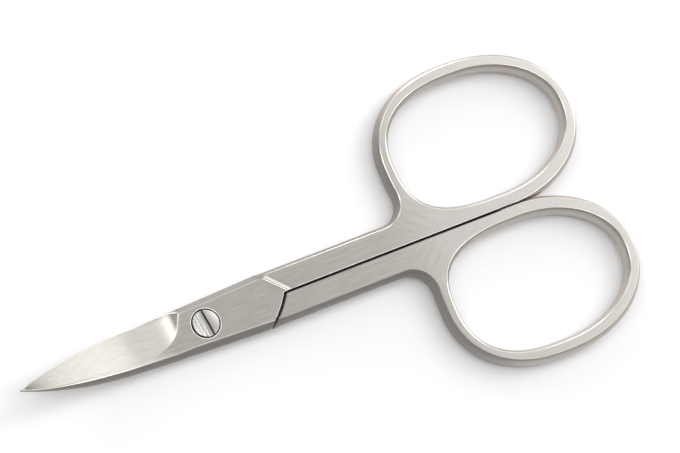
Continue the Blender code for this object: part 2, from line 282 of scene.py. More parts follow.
class Oval(NamedTuple):
    """A superellipse with powers of its own for the rear half and for each front quarter.

    The quarter away from the shank has one power along and one across, the others have one for both.
    """

    x: float
    v: float
    half_length: float
    half_width: float
    front_power: float
    front_across_power: float
    rear_power: float
    root_power: float

    def at(self, angle: float) -> tuple[float, float]:
        """Point at an angle.

        Args:
            angle: The angle, which starts at the rear and turns toward +v.

        Returns:
            The point's x and v.
        """
        cosine = math.cos(angle)
        sine = math.sin(angle)
        powers = (self.rear_power, self.rear_power)
        if cosine < 0:
            powers = (self.root_power, self.root_power)
            if sine > 0:
                powers = (self.front_power, self.front_across_power)
        along = math.copysign(abs(cosine) ** (2 / powers[0]), cosine)
        across = math.copysign(abs(sine) ** (2 / powers[1]), sine)
        return self.x + self.half_length * along, self.v + self.half_width * across


@dataclass(frozen=True)
class Blade:
    """The curved, ground blade."""

    length: float = 28.15 * MM
    root: float = 5.0 * MM
    neck: float = 9.0 * MM
    width: float = 6.15 * MM
    bulge: float = 0.66 * MM
    tip_width: float = 0.16 * MM
    curve_radius: float = 60.0 * MM
    spine_tip_height: float = 0.4 * MM
    spine_power: float = 2.2
    edge_root_height: float = 0.17 * MM
    edge_tip_height: float = 0.2 * MM
    taper_power: float = 2.45
    bulge_power: float = 7.0
    rim_edge: float = 3.0 * MM
    rim_lean: float = 2.3 * MM
    rim_sweep: float = 6.0 * MM
    rim_sweep_power: float = 5.3
    rim_land: float = 0.8 * MM
    rim_round: float = 0.1 * MM
    rim_samples: int = 3
    plunge: float = 3.6 * MM
    rows: int = 30
    plunge_rows: int = 16
    round_rows: int = 6
    land_rows: int = 3
    columns: int = 14

    @property
    def box_front(self) -> float:
        """Distance from the screw to where the box is flat all across."""
        return self.rim_edge - self.rim_land

    def tip_share(self, x: float) -> float:
        """0 where the blade starts to taper, 1 at its tip."""
        return limited((-self.root - x) / (self.length - self.root))

    def rim(self, across: float) -> float:
        """Place of the grind rim, for a share across the blade from cutting edge to spine."""
        return -(self.rim_edge + self.rim_lean * across + self.rim_sweep * across ** self.rim_sweep_power)

    def rim_share(self, x: float) -> float:
        """Share across the blade at which the grind rim crosses x."""
        return crossing(0.0, 1.0, lambda across: self.rim(across) > x)

    def ground_height(self, x: float, across: float, box_height: float) -> float:
        """Height of the outer face with a sharp rim: the box, the wheel's scoop, then the blade.

        Args:
            x: Place along the scissors.
            across: Share across the blade, 0 at the cutting edge and 1 at the spine.
            box_height: Height of the box's flat face.

        Returns:
            The height above the meeting surface.
        """
        if x >= self.rim(across):
            return box_height
        spine_share = limited((self.rim(1.0) - x) / (self.rim(1.0) + self.length))
        edge_share = limited((self.rim(0.0) - x) / (self.rim(0.0) + self.length))
        spine = lerp(box_height, self.spine_tip_height, spine_share ** self.spine_power)
        edge = lerp(self.edge_root_height, self.edge_tip_height, edge_share)
        scoop = (box_height - self.edge_root_height) * (1 - self.rim_share(x))
        return lerp(edge, spine, across) + scoop

    def height(self, x: float, across: float, box_height: float) -> float:
        """Height of the outer face, with its rim rounded over.

        Args:
            x: Place along the scissors.
            across: Share across the blade, 0 at the cutting edge and 1 at the spine.
            box_height: Height of the box's flat face.

        Returns:
            The mean height of a few spots around x.
        """
        steps = range(-self.rim_samples, self.rim_samples + 1)
        spots = [x + self.rim_round * step / self.rim_samples for step in steps]
        return sum(self.ground_height(spot, across, box_height) for spot in spots) / len(spots)


@dataclass(frozen=True)
class Box:
    """The pivot box, a step lower than the shanks, with its slanted convex end.

    The shoulder's rows are shares of the way along it and of the way up it, from its foot to its crest.
    """

    step: float = 0.35 * MM
    width: float = 7.7 * MM
    bulge: float = 0.85 * MM
    end: float = 11.95 * MM
    end_lean: float = 0.642
    end_radius: float = 6.7 * MM
    shoulder_foot: float = 12.38 * MM
    shoulder_run: float = 1.1 * MM
    shoulder_lean: float = 0.91
    shoulder_rows: tuple[tuple[float, float], ...] = (
        (0.05, 0.3), (0.2, 0.34), (0.25, 0.5), (0.4, 0.6),
        (0.55, 0.69), (0.7, 0.78), (0.84, 0.88), (0.9, 0.87))
    side_rows: int = 6
    end_rows: int = 10

    def end_at(self, down: float, gap: float, split: float) -> Vector:
        """Point on the convex end.

        Args:
            down: Distance down from the split.
            gap: How far the point is set off from the end, toward the shank.
            split: Place of the split face.

        Returns:
            The point's x and v.
        """
        slope = self.end_lean + down / self.end_radius
        x = self.end - self.end_lean * down - down ** 2 / (2 * self.end_radius)
        return Vector((x, split - down)) + Vector((1.0, -slope)).normalized() * gap


@dataclass(frozen=True)
class Handle:
    """The shank and the finger loop."""

    shank_width: float = 3.2 * MM
    shank_bulge: float = 0.57 * MM
    crotch_radius: float = 3.75 * MM
    loop_bulge: float = 0.57 * MM
    hole_x: float = 47.085 * MM
    hole_length: float = 27.15 * MM
    hole_width: float = 18.7 * MM
    rim_front: float = 1.01 * MM
    rim_rear: float = 1.06 * MM
    rim_side: float = 1.19 * MM
    rim_split: float = 1.5 * MM
    hole_powers: tuple[float, float, float, float] = (2.645, 2.15, 2.08, 2.85)
    loop_powers: tuple[float, float, float, float] = (2.45, 2.08, 2.1, 3.2)
    loop_rows: int = 128
    loop_samples: int = 1500
    crotch_rows: int = 16
    split_rows: int = 24

    def hole(self, split: float) -> Oval:
        """The finger hole's edge on the flat faces, for a place of the split face."""
        middle = split + self.rim_split + self.hole_width / 2
        return Oval(self.hole_x, middle, self.hole_length / 2, self.hole_width / 2, *self.hole_powers)

    def loop(self, split: float) -> Oval:
        """The loop's outer edge on the flat faces.

        Args:
            split: Place of the split face, which the loop touches.

        Returns:
            The edge, which leaves a rim of its own width on each side of the finger hole.
        """
        hole = self.hole(split)
        front = hole.x - hole.half_length - self.rim_front
        rear = hole.x + hole.half_length + self.rim_rear
        far = hole.v + hole.half_width + self.rim_side
        return Oval((front + rear) / 2, (split + far) / 2, (rear - front) / 2, (far - split) / 2,
                    *self.loop_powers)


@dataclass(frozen=True)
class Bore:
    """A round hole in the box: its radius, and how far above the meeting surface it stops."""

    radius: float
    floor: Optional[float]


@dataclass
class Half:
    """One forged half, from blade tip to finger loop."""

    name: str
    body: str
    node: str
    layer: Layer
    bores: tuple[Bore, ...]
    thickness: float = 3.0 * MM
    split: float = 0.15 * MM
    meeting: float = 0.06 * MM
    lap_gap: float = 0.33 * MM
    edge: float = 0.09 * MM
    edge_share: float = 0.25
    blade: Blade = field(default_factory=Blade)
    box: Box = field(default_factory=Box)
    handle: Handle = field(default_factory=Handle)
    wall_angle: float = math.radians(60)
    wall_shares: tuple[float, ...] = (0.84, 0.68, 0.5, 0.33, 0.16)
    round_shares: tuple[float, ...] = (0.0, 1 / 3, 2 / 3, 1.0)
    bore_sides: int = 96
    bore_edge: float = 0.11 * MM

    @property
    def top(self) -> float:
        """Height of the shank's flat face above the meeting surface."""
        return self.thickness / 2

    @property
    def box_top(self) -> float:
        """Height of the box's flat face above the meeting surface."""
        return self.top - self.box.step

    def side_bulge(self, x: float) -> float:
        """How far the side wall of the blade or box swells past its outer face.

        Args:
            x: Place along the scissors.

        Returns:
            The swell, which grows from the tip to the box.
        """
        blade = self.blade
        bulge = blade.bulge * (1 - blade.tip_share(x) ** blade.bulge_power)
        return lerp(bulge, self.box.bulge, limited((x + blade.root) / (blade.root - blade.box_front)))

    def wall_turn(self, height: float, full: float) -> tuple[float, float]:
        """Slope of the rounded wall at a height, as an angle, and how far out it stands there.

        Args:
            height: Height above the meeting surface.
            full: The height at which the wall meets an outer face that isn't ground down.

        Returns:
            The angle, 0 at the meeting surface, and the share of the bulge, 1 there.
        """
        turn = math.asin(math.sin(self.wall_angle) * min(height / full, 1.0))
        flat = math.cos(self.wall_angle)
        return turn, (math.cos(turn) - flat) / (1 - flat)

    def ground_half_width(self, x: float, height: float) -> float:
        """Half width of the outer face of the blade and box where it is ground to a height."""
        share = self.wall_turn(height, self.box_top)[1]
        return self.face_half_width(x) + self.side_bulge(x) * share

    def face_half_width(self, x: float) -> float:
        """Half width of the outer face of the blade and box at full height.

        Args:
            x: Place along the scissors.

        Returns:
            The half width, without the swell of the side wall.
        """
        blade = self.blade
        leaf = lerp(blade.tip_width, blade.width, 1 - blade.tip_share(x) ** blade.taper_power)
        back = self.box.shoulder_foot - self.box.shoulder_lean * self.handle.shank_width
        share = limited((x + blade.neck) / (back + blade.neck))
        return lerp(leaf, self.box.width, share) / 2 - self.side_bulge(x)

    def blade_column(self, across: float) -> list[Corner]:
        """Corners of the blade's outer face from tip to box.

        Args:
            across: Share across the blade, 0 at the cutting edge and 1 at the spine.

        Returns:
            The corners, which lie closer together at the grind rim.
        """
        blade = self.blade
        rim = blade.rim(across)
        places = spread(-blade.length, rim - blade.plunge, blade.rows)
        places += spread(rim - blade.plunge, rim - blade.rim_round, blade.plunge_rows)
        places += spread(rim - blade.rim_round, rim + blade.rim_round, blade.round_rows)
        places += spread(rim + blade.rim_round, -blade.box_front, blade.land_rows)
        places.append(-blade.box_front)
        corners = []
        for x in places:
            near, far = (self.ground_half_width(x, blade.height(x, side, self.box_top))
                         for side in (0.0, 1.0))
            corners.append(Corner(x, lerp(near, -far, across), blade.height(x, across, self.box_top),
                                  self.side_bulge(x), None, self.box_top))
        return corners

    def box_corner(self, gap: float) -> tuple[Vector, float]:
        """Where the box's end line meets the side.

        Args:
            gap: How far the line is set off from the end.

        Returns:
            The point's x and v, and the line's slope there.
        """
        def inside(down: float) -> bool:
            """Whether the line hasn't reached the side yet."""
            point = self.box.end_at(down, gap, self.split)
            return -point.y < self.face_half_width(point.x)

        down = crossing(0.0, 2 * self.handle.shank_width, inside)
        return self.box.end_at(down, gap, self.split), self.box.end_lean + down / self.box.end_radius

    def shoulder(self, offset: float, v: float, height: float, bulge: float) -> Corner:
        """Corner on a line across the half that leans like the shoulder."""
        return Corner(self.box.shoulder_foot + offset - self.box.shoulder_lean * v, v, height, bulge)

    def loop_side(self) -> list[Corner]:
        """Outline from the end of the shank round the outside of the loop to the split.

        Returns:
            Corners along the crotch fillet, which touches shank and loop, then along the loop.
        """
        handle = self.handle
        loop = handle.loop(self.split)
        radius = handle.crotch_radius
        v = handle.shank_width + radius
        front = [(loop.at(angle), angle)
                 for angle in spread(math.pi / 2, 3 * math.pi / 2, handle.loop_samples)]

        def nearest(x: float) -> tuple[float, float]:
            """Distance from a place of the fillet's middle to the loop, and the angle on the loop."""
            return min((math.dist((x, v), point), angle) for point, angle in front)

        # The fillet's middle lies between three radii before the loop's front and one radius behind it.
        front_x = loop.x - loop.half_length
        middle_x = crossing(front_x - 3 * radius, front_x + radius, lambda x: nearest(x)[0] > radius)
        touch = nearest(middle_x)[1]
        touch_x, touch_v = loop.at(touch)
        end = math.atan2(touch_v - v, touch_x - middle_x)
        corners = []
        for share in spread(0, 1, handle.crotch_rows):
            angle = lerp(-math.pi / 2, end, share)
            corners.append(Corner(middle_x + radius * math.cos(angle), v + radius * math.sin(angle),
                                  self.top, lerp(handle.shank_bulge, handle.loop_bulge, share)))
        for share in spread(0, 1, handle.loop_rows) + [1.0]:
            corners.append(Corner(*loop.at(lerp(touch, -math.pi / 2, share)), self.top, handle.loop_bulge))
        return corners

    def half_wall(self, bulge: float, height: float, foot: float, full: float) -> list[tuple[float, float]]:
        """Offsets and heights down one half of a side wall.

        Args:
            bulge: How far the whole wall swells.
            height: Height at which it starts.
            foot: Height at which it ends.
            full: Height at which it would start if the outer face weren't ground down.

        Returns:
            Pairs of outward offset and height, first round the softened edge and then down the wall.
        """
        top_turn, top_share = self.wall_turn(height, full)
        edge = min(self.edge, (height - foot) * self.edge_share)
        fall = full * math.cos(top_turn) / math.sin(self.wall_angle)
        run = bulge * math.sin(top_turn) / (1 - math.cos(self.wall_angle))
        start = Vector((-edge, 0.0))
        stop = Vector((run, -fall)).normalized() * edge
        points = []
        for share in self.round_shares:
            spot = start * (1 - share) ** 2 + stop * share ** 2
            points.append((spot.x, height + spot.y))
        for share in self.wall_shares:
            level = math.sin(top_turn * share) / math.sin(top_turn)
            out = self.wall_turn(height * level, full)[1] - top_share
            points.append((bulge * out, lerp(foot, height, level)))
        return points

    def wall_profile(self, corner: Corner, whole: bool) -> list[tuple[float, float]]:
        """Offsets and heights down a side wall, from inside the outer face's edge.

        Args:
            corner: The corner of the outer face that the wall hangs from.
            whole: True for a wall down to the far face, False for one down to the meeting surface.

        Returns:
            Pairs of outward offset and height, from top to bottom.
        """
        full = corner.full or corner.height
        profile = self.half_wall(corner.bulge, corner.height, self.meeting, full)
        profile.append((corner.bulge * (1 - self.wall_turn(corner.height, full)[1]), self.meeting))
        if whole:
            lower = self.half_wall(corner.bulge, self.top, 0.0, self.top)
            profile += [(offset, -height) for offset, height in reversed(lower)]
        return profile

    def columns(self, bm: bmesh.types.BMesh, corners: Sequence[Corner], whole: Sequence[bool]) -> list[Ring]:
        """A column of vertices down the side wall under each corner of a closed outline.

        Args:
            bm: The mesh that gets the vertices.
            corners: The closed outline, with the metal on the right hand.
            whole: For each corner, whether its wall goes down to the far face.

        Returns:
            One column of vertices for each corner, from top to bottom.
        """
        made = []
        count = len(corners)
        for index, corner in enumerate(corners):
            before = corners[index - 1]
            after = corners[(index + 1) % count]
            into = Vector((corner.x - before.x, corner.v - before.v)).normalized()
            away = Vector((after.x - corner.x, after.v - corner.v)).normalized()
            first = Vector((-into.y, into.x))
            second = Vector((-away.y, away.x))
            square = (first + second) / (1 + first.dot(second))
            pull = Vector(corner.pull) if corner.pull else square
            column = []
            for offset, height in self.wall_profile(corner, whole[index]):
                spot = Vector((corner.x, corner.v)) + (pull if offset > 0 else square) * offset
                column.append(bm.verts.new((spot.x, max(spot.y, self.clear_v(corner)), height)))
            made.append(column)
        return made

    def clear_v(self, corner: Corner) -> float:
        """Least v that a wall may reach: the split face for corners on the loop's side of it."""
        return self.split if corner.v >= self.split and corner.x > self.box.end else -math.inf

    @staticmethod
    def between(first: Corner, last: Corner, along: float, up: float) -> Corner:
        """A corner between two others, with shares of its own for the way along and the way up."""
        return Corner(lerp(first.x, last.x, along), lerp(first.v, last.v, along),
                      lerp(first.height, last.height, up), lerp(first.bulge, last.bulge, along))

    def flat_mesh(self) -> bpy.types.Mesh:
        """Build the half as one closed mesh in half coordinates, before its blade is curved.

        Its outline starts at the tip and runs along the near side of blade and box, up the shoulder, round
        the loop, back along the split and the box's end, and along the far side to the tip.

        Returns:
            The mesh, whose attributes mark its walls, the finishes of its faces, and where shade and
            highlights are painted.
        """
        bm = bmesh.new()
        for mark in ("wall", "side", "painted_shade", "meeting", "edge_highlight"):
            bm.faces.layers.float.new(mark)
        box = self.box
        handle = self.handle
        near = self.blade_column(0.0)
        far = self.blade_column(1.0)
        blade_count = len(near)

        lap, lap_slope = self.box_corner(self.lap_gap)
        end, end_slope = self.box_corner(0.0)
        foot_v = self.face_half_width(box.shoulder_foot - box.shoulder_lean * handle.shank_width)
        foot = self.shoulder(0, foot_v, self.box_top, box.bulge)
        crest = self.shoulder(box.shoulder_run, handle.shank_width, self.top, handle.shank_bulge)
        rows = [self.between(foot, crest, along, up) for along, up in box.shoulder_rows]
        share = (lap.x - foot.x) / (rows[0].x - foot.x)
        join = self.between(foot, rows[0], share, share)._replace(pull=(-lap_slope, 1.0))
        side = [Corner(x, self.face_half_width(x), self.box_top, self.side_bulge(x))
                for x in spread(-self.blade.box_front, foot.x, box.side_rows)[1:]]
        loop_side = self.loop_side()
        split_crest = self.shoulder(box.shoulder_run, self.split, self.top, 0.0)
        split_foot = self.shoulder(0, self.split, self.box_top, 0.0)
        split_run = [Corner(x, self.split, self.top)
                     for x in spread(loop_side[-1].x, split_crest.x, handle.split_rows)[1:]]
        lap_downs = self.lap_downs()
        lap_start = box.end_at(lap_downs[0], self.lap_gap, self.split)
        split_lap = Corner(lap_start.x, self.split, self.box_top)
        end_corners = []
        for down in spread(0, self.split - end.y, box.end_rows):
            point = box.end_at(down, 0, self.split)
            end_corners.append(Corner(point.x, point.y, self.box_top))
        toe = Corner(end.x, end.y, self.box_top, box.bulge, (-end_slope, -1.0))
        far_side = [Corner(x, -self.face_half_width(x), self.box_top, self.side_bulge(x))
                    for x in spread(-self.blade.box_front, end.x, box.side_rows)[:0:-1]]

        split_rows = [self.between(split_foot, split_crest, along, up) for along, up in box.shoulder_rows]
        outline = near + side + [foot, join] + rows + [crest] + loop_side + split_run
        outline += [split_crest] + split_rows[::-1] + [split_foot, split_lap]
        outline += end_corners + [toe] + far_side + far[::-1]
        foot_at = blade_count + len(side)
        join_at = foot_at + 1
        crest_at = join_at + len(rows) + 1
        split_crest_at = crest_at + len(loop_side) + len(split_run) + 1
        split_foot_at = split_crest_at + len(rows) + 1
        split_lap_at = split_foot_at + 1
        far_front = len(outline) - blade_count
        whole = [join_at <= index <= split_lap_at for index in range(len(outline))]
        columns = self.columns(bm, outline, whole)
        meet = len(self.wall_profile(outline[0], False)) - 1

        walls: list[bmesh.types.BMFace] = []
        sides: list[bmesh.types.BMFace] = []
        meeting: list[bmesh.types.BMFace] = []
        edge_highlight: list[bmesh.types.BMFace] = []
        rounds = len(self.round_shares) - 1
        for index, column in enumerate(columns):
            following = columns[(index + 1) % len(columns)]
            depth = min(len(column), len(following))
            made = self.strip(bm, column[:depth], following[:depth])
            walls += made
            # Walls where the halves meet get painted dark shade below their softened top edge, and that
            # softened edge gets a painted highlight line.
            if outline[index].bulge == 0 and outline[(index + 1) % len(outline)].bulge == 0:
                meeting += made[rounds:]
                edge_highlight += made[:rounds]
            else:
                sides += made[rounds:]
        lap_columns = self.lap_wall(bm, lap_downs, columns[split_lap_at], columns[join_at], meet)
        for first, second in zip(lap_columns, lap_columns[1:]):
            made = self.strip(bm, first, second)
            walls += made
            meeting += made

        hole = handle.hole(self.split)
        hole_corners = [Corner(*hole.at(angle), self.top, handle.loop_bulge)
                        for angle in spread(0, math.tau, handle.loop_rows)]
        hole_columns = self.columns(bm, hole_corners, [True] * len(hole_corners))
        for index, column in enumerate(hole_columns):
            made = self.strip(bm, column, hole_columns[(index + 1) % len(hole_columns)])
            walls += made
            sides += made[rounds:-rounds]

        bore_top, bore_bottom, bore_walls = self.bore_walls(bm)
        walls += bore_walls
        # Below their softened top edge the bore walls get painted black shade, and the softened edge gets a
        # painted highlight ring.
        painted_shade = bore_walls[self.bore_sides * rounds:]
        edge_highlight += bore_walls[:self.bore_sides * rounds]

        tops = [column[0] for column in columns]
        blade_columns = [tops[1:blade_count]]
        for share in spread(0, 1, self.blade.columns)[1:]:
            blade_columns.append([bm.verts.new((point.x, point.v, point.height))
                                  for point in self.blade_column(share)[1:]])
        blade_columns.append(tops[-2:far_front - 1:-1])
        for first, second in zip(blade_columns, blade_columns[1:]):
            self.strip(bm, second, first)
        bm.faces.new([column[0] for column in blade_columns] + [tops[-1], tops[0]])
        front_row = [column[-1] for column in blade_columns[1:-1]]
        self.fill(bm, [tops[blade_count - 1:foot_at + 1] + tops[split_foot_at:far_front + 1]
                       + front_row[::-1], bore_top])
        bm.faces.new(tops[foot_at:join_at + 2] + tops[split_foot_at - 1:split_foot_at + 1])
        for row in range(len(rows)):
            near_at = join_at + 1 + row
            split_at = split_foot_at - 1 - row
            bm.faces.new((tops[near_at], tops[near_at + 1], tops[split_at - 1], tops[split_at]))
        self.fill(bm, [tops[crest_at:split_crest_at + 1], [column[0] for column in hole_columns]])

        meets = [column[meet] for column in columns]
        for row in range(blade_count - 1):
            last = len(meets) - 1 - row
            bm.faces.new((meets[row], meets[row + 1], meets[last - 1], meets[last]))
        lap_line = [column[0] for column in lap_columns[1:-1]][::-1]
        self.fill(bm, [meets[blade_count - 1:join_at + 1] + lap_line
                       + meets[split_lap_at:far_front + 1], bore_bottom])
        under = [column[-1] for column in columns[join_at:split_lap_at + 1]]
        under += [column[-1] for column in lap_columns[1:-1]]
        self.fill(bm, [under, [column[-1] for column in hole_columns]])
        return self.plain_mesh(bm, {"wall": walls, "side": sides, "painted_shade": painted_shade, "meeting": meeting,
                                    "edge_highlight": edge_highlight})

    def lap_downs(self) -> list[float]:
        """Distances down the lap's end line, from the split face to the side.

        Returns:
            Even steps, one step short of the side.
        """
        def before_split(down: float) -> bool:
            """Whether the line hasn't reached the split face yet."""
            return -self.box.end_at(down, self.lap_gap, self.split).y < self.split

        start = crossing(-2 * self.split, 2 * self.split, before_split)
        slope = self.box_corner(self.lap_gap)[1]
        reach = (slope - self.box.end_lean) * self.box.end_radius
        return spread(start, reach, self.box.end_rows)

    def lap_wall(self, bm: bmesh.types.BMesh, downs: Sequence[float], first: Ring, last: Ring,
                 meet: int) -> list[Ring]:
        """Columns of the shank's end face under the lap, from the split to the side.

        Args:
            bm: The mesh that gets the vertices.
            downs: Distances down the lap's end line.
            first: The outline's column at the split.
            last: The outline's column at the side.
            meet: Index of the meeting surface in the outline's columns.

        Returns:
            Columns that start at the meeting surface, with the two given columns at the ends.
        """
        profile = self.wall_profile(Corner(0.0, 0.0, self.box_top), True)[meet:]
        made = [first[meet:]]
        for down in downs[1:]:
            point = self.box.end_at(down, self.lap_gap, self.split)
            slope = self.box.end_lean + down / self.box.end_radius
            inward = Vector((1.0, slope)).normalized()
            column = []
            for offset, height in profile:
                spot = Vector((point.x, -point.y)) - inward * offset
                column.append(bm.verts.new((spot.x, spot.y, height)))
            made.append(column)
        made.append(last[meet:])
        return made

    def bore_walls(self, bm: bmesh.types.BMesh) -> tuple[Ring, Ring, list[bmesh.types.BMFace]]:
        """Walls and floors of the screw's holes, from the outer face to the meeting surface.

        Args:
            bm: The mesh that gets them.

        Returns:
            The ring on the outer face, the ring on the meeting surface, and the faces between.
        """
        edge = self.bore_edge
        rings: list[tuple[float, float]] = []
        height = self.box_top
        for bore in self.bores:
            rings.append((bore.radius + edge, height))
            for share in self.round_shares[1:]:
                rings.append((bore.radius + edge * (1 - share) ** 2, height - edge * share ** 2))
            height = self.meeting if bore.floor is None else bore.floor
            rings.append((bore.radius, height))
        made = [ring(bm, (0.0, 0.0), radius, level, self.bore_sides) for radius, level in rings]
        faces = []
        for upper, lower in zip(made, made[1:]):
            for index in range(self.bore_sides):
                following = (index + 1) % self.bore_sides
                faces.append(bm.faces.new((upper[index], lower[index], lower[following], upper[following])))
        return made[0], made[-1], faces

    @staticmethod
    def strip(bm: bmesh.types.BMesh, first: Ring, second: Ring) -> list[bmesh.types.BMFace]:
        """Faces between two columns of vertices."""
        return [bm.faces.new((first[row], second[row], second[row + 1], first[row + 1]))
                for row in range(len(first) - 1)]

    @staticmethod
    def fill(bm: bmesh.types.BMesh, outlines: Iterable[Ring]) -> None:
        """Flat faces inside the first outline and outside the others.

        Args:
            bm: The mesh that gets the faces.
            outlines: Closed rings of its vertices.
        """
        edges = []
        for outline in outlines:
            for index, vertex in enumerate(outline):
                pair = (outline[index - 1], vertex)
                edges.append(bm.edges.get(pair) or bm.edges.new(pair))
        bmesh.ops.triangle_fill(bm, use_beauty=True, edges=edges)

    def plain_mesh(self, bm: bmesh.types.BMesh, marked: Mapping[str, Sequence[bmesh.types.BMFace]]
                   ) -> bpy.types.Mesh:
        """Turn the mesh into plain data.

        Args:
            bm: The mesh in the making, which is freed.
            marked: For each attribute, the faces on which it is 1.

        Returns:
            The plain mesh.
        """
        bmesh.ops.recalc_face_normals(bm, faces=bm.faces)
        for name, faces in marked.items():
            marks = bm.faces.layers.float[name]
            for face in faces:
                face[marks] = 1.0
        mesh = bpy.data.meshes.new(self.name)
        bm.to_mesh(mesh)
        bm.free()
        return mesh

    @staticmethod
    def forge() -> Workshop:
        """Tree that turns a half to its own side, curves its blade up and sets it on the pivot.

        Returns:
            The tree, which both halves are run through.
        """
        tree = Workshop("forge", {"Side": "NodeSocketFloat", "Middle height": "NodeSocketFloat",
                                  "Pivot x": "NodeSocketFloat", "Blade root": "NodeSocketFloat",
                                  "Curve radius": "NodeSocketFloat"})
        given = tree.given
        x, v, h = tree.parts(tree.add("GeometryNodeInputPosition").outputs[0])
        before_root = tree.math("MULTIPLY", tree.math("ADD", x, given["Blade root"]), -1.0)
        run = tree.math("MAXIMUM", before_root, 0.0)
        share = tree.math("DIVIDE", run, given["Curve radius"])
        cosine = tree.math("SQRT", tree.math("SUBTRACT", 1.0, tree.math("MULTIPLY", share, share)))
        rise = tree.math("MULTIPLY", given["Curve radius"], tree.math("SUBTRACT", 1.0, cosine))
        middle = tree.math("ADD", given["Middle height"], rise)
        place = tree.vector(tree.math("ADD", x, given["Pivot x"]),
                            tree.math("MULTIPLY", v, given["Side"]),
                            tree.math("MULTIPLY_ADD", h, given["Side"], middle))
        moved = tree.add("GeometryNodeSetPosition", {"Geometry": given["Geometry"], "Position": place})
        tree.end(moved.outputs[0])
        return tree

    def build(self, forge: Workshop, steel: bpy.types.Material) -> bpy.types.Object:
        """Build the half in its place.

        Args:
            forge: The tree that shapes it.
            steel: Its material.

        Returns:
            The finished half, riding on its body in place of its CAD node.
        """
        half = forge.run(self.name, self.flat_mesh(), {
            "Side": float(self.layer.value), "Middle height": self.top, "Pivot x": PIVOT.x,
            "Blade root": self.blade.root, "Curve radius": self.blade.curve_radius, "Material": steel})
        settle_normals(half.data)
        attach(half, self.body)
        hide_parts(self.node)
        return half


def settle_normals(mesh: bpy.types.Mesh) -> None:
    """Keep flat faces flat, and let the softened edges take their shade from them.

    Args:
        mesh: A mesh with the attribute "wall", which is 1 on walls and 0 on flat faces.
    """
    mesh.shade_smooth()
    wall = [item.value > 0.5 for item in mesh.attributes["wall"].data]
    bm = bmesh.new()
    bm.from_mesh(mesh)
    border: dict[int, int] = {}
    for edge in bm.edges:
        kinds = [wall[face.index] for face in edge.link_faces]
        angle = edge.calc_face_angle(0.0)
        if len(set(kinds)) == 2:
            edge.smooth = False
            if angle < WALL_CREASE:
                plain = edge.link_faces[kinds.index(False)]
                for vertex in edge.verts:
                    border[vertex.index] = plain.index
        elif angle > (WALL_CREASE if kinds[0] else FLAT_CREASE):
            edge.smooth = False
    bm.to_mesh(mesh)
    bm.free()
    normals = [Vector(normal.vector) for normal in mesh.corner_normals]
    shade = {}
    for polygon in mesh.polygons:
        for corner in polygon.loop_indices:
            vertex = mesh.loops[corner].vertex_index
            if border.get(vertex) == polygon.index:
                shade[vertex] = normals[corner]
    for polygon in mesh.polygons:
        for corner in polygon.loop_indices:
            flat_shade = shade.get(mesh.loops[corner].vertex_index)
            if flat_shade is None or not wall[polygon.index]:
                continue
            if polygon.normal.dot(flat_shade) > math.cos(WALL_CREASE):
                normals[corner] = flat_shade
    mesh.normals_split_custom_set(normals)


